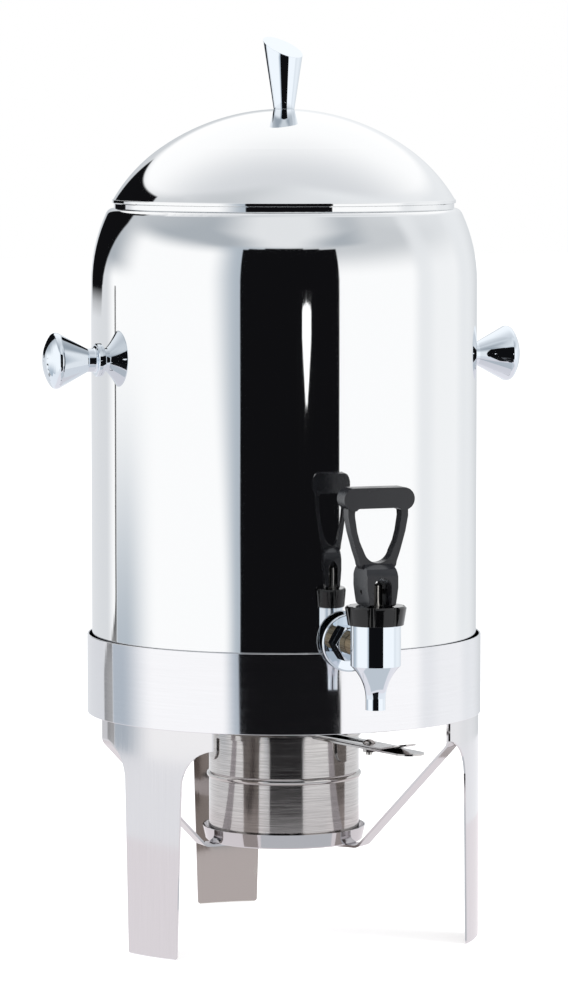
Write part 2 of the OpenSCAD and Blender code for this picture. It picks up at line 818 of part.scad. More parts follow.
module tap_lever_pin() {
    color(mirror_steel) at_valve() translate([-block_w / 2 + 1.2, 0, lever_pin_z])
        rotate([0, 90, 0]) cylinder(r = pin_r, h = block_w - 2.4);
}

// ---- stand -----------------------------------------------------------------------

notch_r = 12;

module stand_band() {
    color(mirror_steel) difference() {
        tube(band_r, stand_inner_r, band_low_z, band_high_z, $fn = 180);
        outward(-90, shank_z) translate([0, 0, band_r - 10]) cylinder(r = notch_r, h = 20);
    }
}

// Front outline of a leg, flat: foot, gently widening blade, fillets and shoulder.
module leg_outline() {
    foot_round = 2;
    foot = leg_foot_w / 2;
    blade = leg_w / 2;
    shoulder = leg_shoulder_w / 2;
    fillet_z = leg_shoulder_z - leg_fillet_r;
    polygon(mirrored([[foot - foot_round, 0], [foot, foot_round], [blade, fillet_z]]));
    for (side = [-1, 1])
        translate([side * (foot - foot_round), foot_round]) circle(foot_round, $fn = 32);
    difference() {
        translate([-shoulder, fillet_z]) square([2 * shoulder, leg_top_z - fillet_z]);
        for (side = [-1, 1])
            translate([side * (blade + leg_fillet_r), fillet_z]) circle(leg_fillet_r);
    }
}

module leg(turn) {
    color(satin_steel) intersection() {
        tube(leg_r, leg_inner_r, 0, leg_top_z, $fn = 180);
        rotate([0, 0, turn]) translate([60, 0, 0]) rotate([90, 0, 90])
            linear_extrude(80) leg_outline();
    }
}

module leg_front_left() leg(leg_turns[0]);
module leg_front_right() leg(leg_turns[1]);
module leg_rear() leg(leg_turns[2]);

module support_ring() {
    ring_t = 1.5;
    ring_z = vessel_base_z - seat_gap;
    color(satin_steel) tube(leg_inner_r, 108, ring_z - ring_t, ring_z, $fn = 180);
}

// ---- burner ----------------------------------------------------------------------

bracket_top_z = 144;
strap_mid_z = tray_z - strap_t / 2;
// the flat tab touches the round shoulder of the leg with its two long edges
strap_tab_x = sqrt(pow(leg_inner_r, 2) - pow(strap_w / 2, 2)) - strap_t / 2;

// Three bent straps welded on a disc, under the tray; each ends in a tab on a leg's
// shoulder.
module burner_bracket() {
    hub_r = 22;
    weld = 0.3;
    color(satin_steel) {
        translate([0, 0, tray_z - 2 * strap_t + weld]) cylinder(r = hub_r, h = strap_t);
        for (i = [0:2]) strap(leg_turns[i] + strap_turns[i], strap_w) bent_strip([
            [hub_r - 8, strap_mid_z], [57, strap_mid_z], [strap_tab_x, 129], [strap_tab_x, bracket_top_z]
        ], strap_t, 5);
    }
}

module burner_tray() {
    sheet = 0.8;
    foot_r = tray_r - 1.8;
    color(satin_steel) rotate_extrude($fn = 180) polygon([
        [0, tray_z], [foot_r - sheet, tray_z], [foot_r, tray_z + sheet], [tray_r, tray_rim_z],
        [tray_r - sheet, tray_rim_z], [foot_r - sheet, tray_z + 2 * sheet],
        [foot_r - 1.8 * sheet, tray_z + sheet], [0, tray_z + sheet]
    ]);
}

cup_wall = 0.8;

module fuel_cup() {
    bead_r = 2.3;
    color(brushed_steel) rotate_extrude($fn = 180) difference() {
        union() {
            translate([0, cup_z]) square([cup_r, cup_rim_z - cup_z]);
            translate([cup_r - 0.9, cup_bead_z]) circle(bead_r, $fn = 32);
        }
        translate([-1, cup_z + cup_wall]) square([cup_r - cup_wall + 1, cup_rim_z]);
        translate([cup_r - 0.9, cup_bead_z]) circle(bead_r - cup_wall, $fn = 32);
    }
}

cover_t = 1.2;
cover_top_z = cup_rim_z + cover_t;
cover_rim_r = cup_r + 1.2;
tab_turns = [-57, 63, 183];

module bar_outline(from_r, to_r, w) {
    translate([from_r, -w / 2]) square([to_r - w / 2 - from_r, w]);
    translate([to_r - w / 2, 0]) circle(w / 2);
}

// Plate with the flame hole, a turned-down rim, three hanging tabs that hold it on the
// cup, and a handle bar in the plate's own plane.
module cup_cover() {
    rim_h = 2.2;
    tab_w = 13.5;
    tab_low_z = 113.5;
    tab_in_r = cup_r + 0.25;
    color(brushed_steel) {
        translate([0, 0, cup_rim_z]) linear_extrude(cover_t) difference() {
            union() {
                circle(cover_rim_r, $fn = 180);
                rotate(burner_turn) bar_outline(30, cover_bar_reach, cover_bar_w);
            }
            circle(flame_hole_r);
            rotate(burner_turn) translate([damper_pivot_r, 0]) circle(damper_screw_r);
        }
        tube(cover_rim_r, tab_in_r, cup_rim_z - rim_h, cup_rim_z + eps, $fn = 180);
        for (turn = tab_turns) intersection() {
            tube(cover_rim_r, tab_in_r, tab_low_z - 1, cup_rim_z + eps, $fn = 180);
            rotate([0, 0, turn]) translate([30, 0, 0]) rotate([90, 0, 90]) linear_extrude(30) {
                translate([-tab_w / 2, tab_low_z + tab_w / 2]) square([tab_w, 30]);
                translate([0, tab_low_z + tab_w / 2]) circle(tab_w / 2);
            }
        }
    }
}

damper_t = 1;
damper_z = cover_top_z + 0.1;
damper_screw_r = 2;
finger_bend_r = 121;
finger_tip_r = 142;
finger_rise = 4.3;

// Disc and arm in one plane; beyond the pivot the arm bends up into a finger tab.
module damper_plate() {
    arm_w = 16;
    color(brushed_steel) difference() {
        union() {
            translate([0, 0, damper_z]) linear_extrude(damper_t) {
                circle(damper_r, $fn = 180);
                rotate(burner_turn) translate([20, -arm_w / 2])
                    square([finger_bend_r - 22, arm_w]);
            }
            intersection() {
                strap(burner_turn, arm_w) bent_strip([
                    [finger_bend_r - 8, damper_z + damper_t / 2],
                    [finger_bend_r, damper_z + damper_t / 2],
                    [finger_tip_r, damper_z + damper_t / 2 + finger_rise]
                ], damper_t, 6);
                translate([0, 0, damper_z - 5]) linear_extrude(30)
                    rotate(burner_turn) bar_outline(90, finger_tip_r, arm_w);
            }
        }
        rotate([0, 0, burner_turn]) translate([damper_pivot_r, 0, damper_z - 5])
            cylinder(r = damper_screw_r + running_gap, h = 20);
    }
}

module at_damper_pivot() rotate([0, 0, burner_turn]) translate([damper_pivot_r, 0, 0]) children();

module damper_screw() {
    head_r = 4.1;
    head_h = 2.3;
    head_z = damper_z + damper_t + 0.1;
    dome_r = (head_r * head_r + head_h * head_h) / (2 * head_h);
    tail_z = 125.4;
    color(mirror_steel) at_damper_pivot() {
        intersection() {
            translate([0, 0, head_z + head_h - dome_r]) sphere(r = dome_r);
            translate([0, 0, head_z]) cylinder(r = head_r + 1, h = head_h);
        }
        translate([0, 0, tail_z]) cylinder(r = damper_screw_r, h = head_z - tail_z + eps);
    }
}

module damper_nut() {
    nut_h = 3.2;
    color(mirror_steel) at_damper_pivot()
        hex_nut(7, nut_h, damper_screw_r, cup_rim_z - nut_h);
}

vessel_shell();
vessel_base_pan();
lid_dome();
lid_locating_rim();
lid_knob();
lid_knob_screw();
lid_knob_washer();
side_knob_left();
side_knob_right();
side_knob_collars();
side_knob_screws();
side_knob_washers();
tap_escutcheon();
tap_outer_seal();
tap_lock_nut();
tap_shank();
tap_inner_seal();
tap_inner_nut();
tap_valve_body();
tap_bonnet();
tap_stem();
tap_seat_cup();
tap_spring();
tap_lever();
tap_lever_pin();
stand_band();
leg_front_left();
leg_front_right();
leg_rear();
support_ring();
burner_bracket();
burner_tray();
fuel_cup();
cup_cover();
damper_plate();
damper_screw();
damper_nut();
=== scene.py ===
# %% [markdown]
# # Dressing a steel coffee urn
# The urn is a polished vessel that lifts out of a three-legged stand. Its shapes, sizes
# and joints are already made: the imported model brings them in, in metres, and nothing in
# this lesson moves them. What is left is what the eye gets from the surfaces: mirror
# steel, brushed steel, chrome, moulded plastic, and the soft edges of each.

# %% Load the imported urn
import math

import bmesh
import bpy
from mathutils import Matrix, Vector


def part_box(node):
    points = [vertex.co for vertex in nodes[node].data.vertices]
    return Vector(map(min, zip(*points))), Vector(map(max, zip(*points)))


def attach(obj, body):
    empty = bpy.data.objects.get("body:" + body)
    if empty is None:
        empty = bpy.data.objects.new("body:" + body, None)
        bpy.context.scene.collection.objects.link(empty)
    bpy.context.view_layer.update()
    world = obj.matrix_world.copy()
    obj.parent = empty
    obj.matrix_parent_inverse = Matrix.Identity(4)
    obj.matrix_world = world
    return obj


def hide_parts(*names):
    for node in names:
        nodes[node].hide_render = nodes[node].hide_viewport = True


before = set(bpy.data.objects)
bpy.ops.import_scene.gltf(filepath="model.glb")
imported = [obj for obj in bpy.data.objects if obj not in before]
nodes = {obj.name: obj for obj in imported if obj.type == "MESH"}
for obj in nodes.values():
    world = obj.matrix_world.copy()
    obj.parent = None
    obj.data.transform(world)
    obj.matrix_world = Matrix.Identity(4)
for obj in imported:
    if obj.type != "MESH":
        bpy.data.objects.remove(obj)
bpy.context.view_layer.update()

MM = 0.001

# %% [markdown]
# ## Colours and shader nodes
# A colour written as an sRGB hex value looks right to a person, but a shader adds light
# in linear numbers. One function turns one into the other. Another adds a node, sets its
# options and fills its inputs, so that each material below reads as a short recipe.

# %% Two helpers for every material
def linear(hex_colour):
    """The colour of a hex value as shaders read it: three linear numbers and an alpha of 1."""
    channels = [int(hex_colour[i:i + 2], 16) / 255 for i in (1, 3, 5)]
    return [c / 12.92 if c <= 0.04045 else ((c + 0.055) / 1.055) ** 2.4 for c in channels] + [1.0]


def add(tree, kind, inputs=None, **options):
    """Adds a node. An input is either a value or the socket that feeds it."""
    node = tree.nodes.new("ShaderNode" + kind)
    for option, value in options.items():
        setattr(node, option, value)
    for socket, value in (inputs or {}).items():
        if isinstance(value, bpy.types.NodeSocket):
            tree.links.new(value, node.inputs[socket])
        else:
            node.inputs[socket].default_value = value
    return node


def new_material(name):
    material = bpy.data.materials.new(name)
    material.use_nodes = True
    material.node_tree.nodes.clear()
    return material, material.node_tree


def show(tree, shader):
    add(tree, "OutputMaterial", {"Surface": shader})


print("white is", [round(c, 3) for c in linear("#FFFFFF")])

# %% [markdown]
# ## The camera
# The photograph was taken with a long lens from about three metres away, a little to the
# left of the tap and almost level with the lid. A long lens keeps the sides of the vessel
# parallel. The camera is aimed down by a few degrees and has no shift, so that other
# views can move it freely.

# %% Place the camera
CAMERA_DISTANCE = 3.121
CAMERA_HEIGHT = 0.5383
CAMERA_AZIMUTH = math.radians(-18)
CAMERA_DOWN = math.radians(4.785)
LENS_MM, SENSOR_MM = 177.7, 36
camera_data = bpy.data.cameras.new("camera")
camera_data.lens = LENS_MM
camera_data.sensor_width = SENSOR_MM
camera = bpy.data.objects.new("camera", camera_data)
bpy.context.scene.collection.objects.link(camera)
camera.location = (
    math.sin(CAMERA_AZIMUTH) * CAMERA_DISTANCE,
    -math.cos(CAMERA_AZIMUTH) * CAMERA_DISTANCE,
    CAMERA_HEIGHT,
)
camera.rotation_euler = (math.pi / 2 - CAMERA_DOWN, 0, CAMERA_AZIMUTH)
bpy.context.scene.camera = camera
bpy.context.scene.view_settings.view_transform = "Standard"
print("camera at", [round(v, 3) for v in camera.location])

# %% [markdown]
# ## The floor and the world
# A mirror shows its surroundings, so they are part of the picture. The world is plain
# white for rays that come from the camera or off a shiny surface, and a little dimmer as
# a lamp, so that plastics and the floor are lit at a plain level. The paper floor gets a
# little glow of its own, for the same rays: it turns white like the world and still keeps
# the urn's shadow.

# %% Make the white world
WORLD_LAMP_LEVEL = 0.7


def seen_directly(tree):
    """1 for rays from the camera, off a shiny surface or through glass, and 0 for the rest."""
    rays = add(tree, "LightPath").outputs
    either = add(tree, "Math", {
        0: rays["Is Camera Ray"], 1: rays["Is Glossy Ray"]}, operation="MAXIMUM")
    return add(tree, "Math", {
        0: either.outputs[0], 1: rays["Is Transmission Ray"]}, operation="MAXIMUM").outputs[0]


world = bpy.data.worlds.new("white_room")
bpy.context.scene.world = world
world.use_nodes = True
world.node_tree.nodes.clear()
level = add(world.node_tree, "MapRange", {
    "Value": seen_directly(world.node_tree), "To Min": WORLD_LAMP_LEVEL, "To Max": 1.0})
background = add(world.node_tree, "Background", {
    "Color": linear("#FFFFFF"), "Strength": level.outputs["Result"]})
add(world.node_tree, "OutputWorld", {"Surface": background.outputs[0]})
print("the world lights at", WORLD_LAMP_LEVEL, "and shows as white")

# %% [markdown]
# Every surface that this lesson makes itself is a grid: rows of points, joined into
# four-sided faces. The floor is the plainest of them, with two points in each of two rows.

# %% Lay the paper floor
def grid_object(name, rows, material, closed=False):
    """A surface through rows of points. Each row has the same number of points."""
    mesh = bpy.data.meshes.new(name)
    wide = len(rows[0])
    steps = wide if closed else wide - 1
    faces = [
        (j * wide + i, j * wide + (i + 1) % wide,
         (j + 1) * wide + (i + 1) % wide, (j + 1) * wide + i)
        for j in range(len(rows) - 1) for i in range(steps)
    ]
    mesh.from_pydata([p for row in rows for p in row], [], faces)
    mesh.polygons.foreach_set("use_smooth", [True] * len(mesh.polygons))
    piece = bpy.data.objects.new(name, mesh)
    piece.data.materials.append(material)
    bpy.context.scene.collection.objects.link(piece)
    return piece


FLOOR_HALF = 12.0
FLOOR_GLOW = 0.5
paper, tree = new_material("white_paper_floor")
glow = add(tree, "Math", {0: seen_directly(tree), 1: FLOOR_GLOW}, operation="MULTIPLY")
matt = add(tree, "BsdfDiffuse", {"Color": linear("#F6F6F6")})
lift = add(tree, "Emission", {"Strength": glow.outputs[0]})
show(tree, add(tree, "AddShader", {0: matt.outputs[0], 1: lift.outputs[0]}).outputs[0])
floor = grid_object("floor", [
    [(-FLOOR_HALF, y, 0), (FLOOR_HALF, y, 0)] for y in (-FLOOR_HALF, FLOOR_HALF)], paper)
print("floor of", 2 * FLOOR_HALF, "m")

# %% [markdown]
# ## The light tent
# Polished things are photographed inside a tent of white cloth with a dark gap for the
# camera. The steel shows that tent squeezed into upright bands: white cloth at both
# sides, a grey fade where the cloth ends, and the dark gap down the middle. The lid is a
# wide-angle mirror that shows the lamp on the tent's roof, brightest at the back, and a
# black flag that stands behind on the left draws its dark crescent. The tent is one lining
# round the urn, whose tone follows from where its few parts hang. Only reflections see it,
# so it neither lights nor hides anything.

# %% Tones and edges of the tent
WHITE_CLOTH = linear("#FBFBFB")
PALE_CLOTH = linear("#E4E6E8")
DULL_CLOTH = linear("#C6C9CC")
GREY_CLOTH = linear("#A8AEB4")
COOL_CLOTH = linear("#AEB7C0")
DIM_ROOF = linear("#D5D7DA")
BLACK_FLAG = linear("#0F0F11")

# Radii and heights are in metres. Directions are in degrees round the urn: 0 is towards the
# camera, and they are negative to its left. A pair of numbers is where a soft step starts
# and where it ends.
TENT_RADIUS, TENT_TOP = 1.0, 1.5
TENT_GLOW = 1.22
LID_LEVEL = 0.47                      # height from which the roof is seen in the lid

GAP_LEFT, GAP_RIGHT = -24.2, 30.8     # the dark gap for the camera
GAP_TOP, GAP_WAVE = 0.86, 0.012       # its top, and how far the cloth there sags
JOINT, JOINT_HALF = -114.0, 0.9       # where two cloths meet and leave a thin dark line
JOINT_TOP, JOINT_OPENS = 0.38, 9      # its top, and how much wider it is at the floor

LEFT_DULL_ABOVE = (0.74, 0.94)
LEFT_SHADE = (-104, -76)              # low down the left cloth is in shade up to here
FLAG_SHADE = (-122, -90)              # and so is the cloth next to the flag
RIGHT_DULL_ABOVE = (0.50, 0.85)
RIGHT_FOLD = 86.0                     # a fold in the right cloth
RIGHT_PALE_FROM, RIGHT_DULL_FROM = (105, 130), (134, 165)

FLAG_FAR, FLAG_NEAR = -156.0, -110.0  # the black flag, from behind to the left
FLAG_FOOT, FLAG_TOP = 0.37, 0.84
FLAG_CLIMB = 0.0072                   # metres that its top climbs in each degree
FLAG_LEAN = 35                        # degrees that its near edge leans in each metre

LAMP_EDGE, LAMP_LEAN = 43, 25         # elevation of the roof lamp's edge, and its lean


def ramp(value, start, end):
    """0 before start, 1 after end, and a soft step between."""
    share = min(1.0, max(0.0, (value - start) / (end - start)))
    return share * share * (3 - 2 * share)


def mix(a, b, share):
    return [x + (y - x) * share for x, y in zip(a, b)]


def left_wall_tone(direction, height):
    """The left cloth: white, with the shades that lie on it."""
    tone = mix(WHITE_CLOTH, GREY_CLOTH, ramp(height, *LEFT_DULL_ABOVE))
    # the next cloth, behind the joint
    tone = mix(tone, DIM_ROOF, 1 - ramp(direction, JOINT - 12, JOINT))
    # the edge of the gap turns away from the lamps, over a longer stretch higher up
    fade = 10 + 10 * ramp(height, 0.1, 0.4)
    tone = mix(tone, COOL_CLOTH, ramp(direction, GAP_LEFT - fade, GAP_LEFT - 1))
    low_left = (1 - ramp(height, 0.05, 0.36)) * (1 - ramp(direction, *LEFT_SHADE))
    tone = mix(tone, COOL_CLOTH, low_left * ramp(direction, JOINT, JOINT + 2))
    beside_flag = ramp(height, 0.42, 0.56) * (1 - ramp(direction, *FLAG_SHADE))
    return mix(tone, GREY_CLOTH, beside_flag)


def right_wall_tone(direction, height):
    """The right cloth: white, with a fold at the side and duller behind it."""
    tone = mix(WHITE_CLOTH, DULL_CLOTH, ramp(height, *RIGHT_DULL_ABOVE))
    fold = 0.85 * ramp(direction, RIGHT_FOLD - 10, RIGHT_FOLD)
    fold -= 0.35 * ramp(direction, RIGHT_FOLD + 2, RIGHT_FOLD + 14)
    tone = mix(tone, PALE_CLOTH, max(fold, ramp(direction, *RIGHT_PALE_FROM)))
    return mix(tone, DULL_CLOTH, ramp(direction, *RIGHT_DULL_FROM))


def wall_tone(direction, height):
    """The side cloths, and the cloth over the gap: grey, with a lit middle that is wider
    higher up."""
    tone = (left_wall_tone if direction < 0 else right_wall_tone)(direction, height)
    over_gap = ramp(height, GAP_TOP - 0.02, GAP_TOP + 0.05)
    tone = mix(tone, GREY_CLOTH, (1 - ramp(abs(direction), 36, 60)) * over_gap)
    wider = ramp(height, 0.92, 1.12)
    bright = 1 - ramp(abs(direction), 4 + 10 * wider, 34 + 18 * wider)
    return mix(tone, WHITE_CLOTH, 0.62 * bright * over_gap)


def roof_lamp(direction, elevation):
    """The roof lamp's edge is a circle that leans back, so it starts higher in front.
    Gives the share of lamp, its tone, and how close a place before its edge is to it."""
    ahead = math.cos(math.radians(direction))
    edge = LAMP_EDGE + LAMP_LEAN * ahead
    back = -ahead * math.cos(math.radians(elevation))
    tone = mix(DIM_ROOF, WHITE_CLOTH, ramp(back, -0.3, 0.62))
    return ramp(elevation, edge - 4, edge + 5), tone, ramp(elevation, edge - 26, edge - 2)


def in_flag(direction, height):
    """Share of the black flag: its near edge leans forward and its top climbs with it."""
    near = min(FLAG_NEAR, -132 + FLAG_LEAN * (height - FLAG_FOOT))
    top = FLAG_TOP + FLAG_CLIMB * (direction - FLAG_FAR)
    across = ramp(direction, FLAG_FAR - 2, FLAG_FAR) * (1 - ramp(direction, near - 1, near + 1))
    upward = ramp(height, FLAG_FOOT - 0.012, FLAG_FOOT) * (1 - ramp(height, top - 0.02, top))
    return across * upward


def tent_tone(direction, radius, height):
    """The tone of one place on the lining: cloth, then lamp, gap, joint and flag over it."""
    elevation = math.degrees(math.atan2(height - LID_LEVEL, radius))
    tone = wall_tone(direction, height)
    lamp, lamp_tone, before_lamp = roof_lamp(direction, elevation)
    beside_lamp = mix(DULL_CLOTH, PALE_CLOTH, ramp(direction, -60, 60))
    tone = mix(mix(tone, beside_lamp, before_lamp), lamp_tone, lamp)
    gap_top = GAP_TOP + GAP_WAVE * math.cos(math.radians(direction * 7))
    if GAP_LEFT <= direction <= GAP_RIGHT and height < gap_top:
        return BLACK_FLAG
    # the joint of two cloths opens a little towards the floor
    opening = 1 - ramp(height, 0.06, 0.12)
    far_side = JOINT - JOINT_HALF - JOINT_OPENS * opening
    if far_side < direction < JOINT + JOINT_HALF and height < JOINT_TOP:
        return mix(BLACK_FLAG, tone, 0.08 + 0.3 * opening)
    return mix(tone, BLACK_FLAG, in_flag(direction, height))


print("camera gap:", GAP_LEFT, "to", GAP_RIGHT, "degrees, up to", GAP_TOP, "m")

# %% [markdown]
# The lining is a grid as well. Its rows are rings that climb the wall and then close over
# the roof, and each of its points is painted with the tone of its place.

# %% Hang the light tent
DIRECTION_STEP = 0.5
WALL_RINGS, ROOF_RINGS = 120, 24


def tent_point(radius, height, direction):
    turn = math.radians(direction) + CAMERA_AZIMUTH
    return (radius * math.sin(turn), -radius * math.cos(turn), height)


directions = [-180 + DIRECTION_STEP * i for i in range(round(360 / DIRECTION_STEP) + 1)]
tent_rings = [(TENT_RADIUS, TENT_TOP * j / WALL_RINGS) for j in range(WALL_RINGS + 1)]
tent_rings += [(TENT_RADIUS * (1 - j / ROOF_RINGS), TENT_TOP) for j in range(1, ROOF_RINGS + 1)]
cloth, tree = new_material("lit_cloth")
painted = add(tree, "VertexColor", layer_name="tone")
show(tree, add(tree, "Emission", {
    "Color": painted.outputs["Color"], "Strength": TENT_GLOW}).outputs[0])
tent = grid_object("light_tent", [
    [tent_point(radius, height, d) for d in directions] for radius, height in tent_rings],
    cloth)
tones = tent.data.color_attributes.new("tone", "FLOAT_COLOR", "POINT")
tones.data.foreach_set("color", [
    c for radius, height in tent_rings for d in directions
    for c in tent_tone(d, radius, height)])


def only_in_reflections(piece):
    piece.visible_camera = False
    piece.visible_diffuse = False
    piece.visible_shadow = False


only_in_reflections(tent)
print("tent cells:", len(tent.data.polygons))

# %% [markdown]
# The urn stands on a warm grey table, out of the picture's white. The lower half of each
# leg mirrors it, which is why the legs turn from white to a warm grey near the floor.
# Pale cloth lies round the table, the dark gap goes on across it and darkens the front of
# the cup, and a cooler card under the tap shows in the cone of the spout.

# %% Lay the table that the legs mirror
TABLE_RADIUS = 0.56
SECTOR_STEPS = 60
# name, tone, strength, radii, directions and lift in millimetres
FLOOR_SECTORS = [
    ("warm_grey_table", "#F1ECEF", 1.08, (0.02, TABLE_RADIUS), (-180, 180), 0.6),
    ("pale_floor_cloth", "#ECEDF0", 1.18, (TABLE_RADIUS, TENT_RADIUS), (-180, 180), 0.6),
    ("gap_floor", "#1B1B1D", 1.0, (0.50, TENT_RADIUS), (GAP_LEFT + 3, GAP_RIGHT - 3), 0.8),
    ("cool_grey_card", "#D6DADF", 0.98, (0.12, 0.44), (-30, 66), 0.9),
]


def flat_sector(name, tone, strength, radii, sides, lift_mm):
    """A glowing piece of a ring on the floor, between two radii and two directions."""
    paint, tree = new_material(name)
    show(tree, add(tree, "Emission", {"Color": linear(tone), "Strength": strength}).outputs[0])
    step = (sides[1] - sides[0]) / SECTOR_STEPS
    around = [sides[0] + step * i for i in range(SECTOR_STEPS + 1)]
    only_in_reflections(grid_object(name, [
        [tent_point(radius, lift_mm * MM, d) for d in around] for radius in radii], paint))


for sector in FLOOR_SECTORS:
    flat_sector(*sector)
print("table of", 2 * TABLE_RADIUS, "m")

# %% [markdown]
# A narrow window of light stands in the dark gap. It draws the bright drop that runs down
# the dark band of the vessel.

# %% Cut the bright slit
SLIT_RADIUS = 0.95
SLIT_DIRECTION = 12.4
SLIT_FOOT, SLIT_LENGTH = 0.292, 0.080
SLIT_HALF = 0.042
SLIT_ROWS = 24


def slit_half_width(share):
    """Half the slit's width at a share of its length: narrow at the foot, round at the top."""
    widening = min(1.0, 0.22 + 1.2 * share)
    round_top = math.sqrt(max(0.0, 1 - (max(0.0, share - 0.9) * 10) ** 2))
    return SLIT_HALF * widening * round_top


slit_rows = []
for i in range(SLIT_ROWS + 1):
    share = i / SLIT_ROWS
    half = math.degrees(slit_half_width(share) / SLIT_RADIUS)
    height = SLIT_FOOT + SLIT_LENGTH * share
    slit_rows.append([
        tent_point(SLIT_RADIUS, height, SLIT_DIRECTION + side * half) for side in (-1, 1)])
slit_light, tree = new_material("slit_light")
show(tree, add(tree, "Emission", {"Strength": 1.3}).outputs[0])
only_in_reflections(grid_object("slit", slit_rows, slit_light))
print("slit rows:", len(slit_rows))

# %% [markdown]
# ## Lamps
# Two large soft lamps give the plastics their shape and the floor its shadow. They are
# kept out of reflections, because the tent already shows there.

# %% Hang the lamps
LAMP_DISTANCE = 2.6
LAMP_AIM = Vector((0, 0, 0.25))


def soft_lamp(name, direction, elevation, size, power):
    """A round lamp of a size in metres and a power in watts, turned to the urn's middle."""
    data = bpy.data.lights.new(name, "AREA")
    data.shape = "DISK"
    data.size = size
    data.energy = power
    lamp = bpy.data.objects.new(name, data)
    bpy.context.scene.collection.objects.link(lamp)
    rise = math.radians(elevation)
    lamp.location = tent_point(
        LAMP_DISTANCE * math.cos(rise), LAMP_DISTANCE * math.sin(rise), direction)
    lamp.rotation_mode = "QUATERNION"
    lamp.rotation_quaternion = (LAMP_AIM - lamp.location).to_track_quat("-Z", "Y")
    lamp.visible_glossy = False


soft_lamp("left_lamp", -55, 50, 1.6, 26)
soft_lamp("right_lamp", 70, 40, 1.4, 16)
print("soft lamps:", 2)

# %% [markdown]
# ## Metal finishes
# Every metal here is a conductor, so its colour is the colour of its reflections, and the
# finish is how rough it is and which way its fine lines run. Polishing leaves a mirror
# with long, shallow waves and faint lines; a belt leaves clear lines that stretch the
# reflections across them. One recipe makes them all from real sizes: the spacing of the
# lines and the length of the waves, in millimetres. Real polishing lines are finer than a
# tenth of a millimetre, and are drawn coarser here so that a picture can hold them.

# %% The recipe for a metal finish
LINE_LENGTHS = 60           # how many spacings long a polishing line is


def metal_finish(name, colour, roughness, line_mm, line_depth_mm, along, wave_mm, wave_depth_mm,
                 stretch=0.0, tint=0.0, painted_inner_reflection=None):
    """along is the axis that the lines follow: Z for upright lines, R for lines round Z.
    painted_inner_reflection is a painted reflection: a darker colour for the faces that look
    towards the urn's axis, if they differ."""
    material, tree = new_material(name)
    place = add(tree, "TexCoord").outputs["Object"]
    across, length = 1 / (line_mm * MM), 1 / (line_mm * MM * LINE_LENGTHS)
    scale = (across, across, length) if along == "Z" else (length, length, across)
    lines = add(tree, "TexNoise", {
        "Vector": add(tree, "Mapping", {"Vector": place, "Scale": scale}).outputs[0],
        "Scale": 1.0, "Detail": 3.0, "Roughness": 0.6}).outputs[0]
    waves = add(tree, "TexNoise", {
        "Vector": place, "Scale": 1 / (wave_mm * MM), "Detail": 1.0}).outputs[0]
    wavy = add(tree, "Bump", {"Height": waves, "Strength": 1.0, "Distance": wave_depth_mm * MM})
    lined = add(tree, "Bump", {
        "Height": lines, "Strength": 1.0, "Distance": line_depth_mm * MM,
        "Normal": wavy.outputs[0]})
    rough = add(tree, "MapRange", {
        "Value": lines, "From Min": 0.3, "From Max": 0.7,
        "To Min": roughness[0], "To Max": roughness[1]})
    inputs = {
        "Metallic": 1.0, "Roughness": rough.outputs["Result"], "Normal": lined.outputs[0],
        "Base Color": linear(colour), "Anisotropic": stretch}
    if tint:
        shade = add(tree, "MapRange", {
            "Value": lines, "From Min": 0.3, "From Max": 0.7, "To Min": 1 - tint, "To Max": 1.0})
        inputs["Base Color"] = add(tree, "Mix", {
            0: 1.0, 6: linear(colour), 7: shade.outputs["Result"]},
            data_type="RGBA", blend_type="MULTIPLY").outputs[2]
    # painted reflection: faces that look towards the axis are coloured darker and browner
    if painted_inner_reflection:
        shape = add(tree, "NewGeometry").outputs
        from_axis = add(tree, "VectorMath", {
            0: shape["Position"], 1: (1, 1, 0)}, operation="MULTIPLY").outputs[0]
        outward = add(tree, "VectorMath", {
            0: from_axis, 1: shape["Normal"]}, operation="DOT_PRODUCT").outputs["Value"]
        painted_reflection_mask = add(tree, "MapRange", {
            "Value": outward, "From Min": -0.001, "From Max": 0.001, "To Min": 1, "To Max": 0})
        inputs["Base Color"] = add(tree, "Mix", {
            0: painted_reflection_mask.outputs["Result"], 6: inputs["Base Color"], 7: linear(painted_inner_reflection)},
            data_type="RGBA").outputs[2]
    if stretch:
        inputs["Tangent"] = add(tree, "Tangent", direction_type="RADIAL", axis="Z").outputs[0]
        # lines round the piece spread a highlight across them, so it is turned upright
        inputs["Anisotropic Rotation"] = 0.25
    show(tree, add(tree, "BsdfPrincipled", inputs).outputs[0])
    return material


# Stainless steel sheet, drawn and buffed to a mirror: near black and white, with
# reflections that bend a little where the sheet isn't quite true.
mirror_steel = metal_finish(
    "stainless_mirror_polished", "#E9EAEB", (0.015, 0.05), 1.2, 0.0006, "Z", 55, 0.035)
# The band is rolled from strip: as bright, but its lines run round it and drag the
# reflections upright, so that their ends are soft.
band_steel = metal_finish(
    "stainless_strip_polished", "#E7E7EA", (0.05, 0.09), 0.7, 0.0008, "R", 60, 0.02,
    stretch=0.3, tint=0.03)
# The legs are cut from belt-polished sheet: a mirror that is a little soft, with faint
# lines along their length. Their inner side is painted darker and browner: a painted
# reflection, standing in for what that side mirrors.
leg_steel = metal_finish(
    "stainless_sheet_satin", "#DEDDDF", (0.05, 0.10), 0.8, 0.0008, "Z", 70, 0.02,
    tint=0.03, painted_inner_reflection="#B0ABA7")
# Cup and cover are brushed on a lathe: fine lines round the wall, which pull light and
# dark into upright bands.
brushed_steel = metal_finish(
    "stainless_brushed", "#D2CFCD", (0.10, 0.16), 0.45, 0.0011, "R", 30, 0.03,
    stretch=0.6, tint=0.35)
# Tray and straps are bright pressed strip.
pressed_steel = metal_finish(
    "stainless_pressed_bright", "#CFCDCF", (0.05, 0.10), 0.8, 0.001, "R", 40, 0.03)
# Chromed brass: the sharpest and bluest mirror, which sets the tap off from the steel.
chrome = metal_finish(
    "chromed_brass", "#DFE6ED", (0.01, 0.03), 1.0, 0.0002, "Z", 20, 0.004)
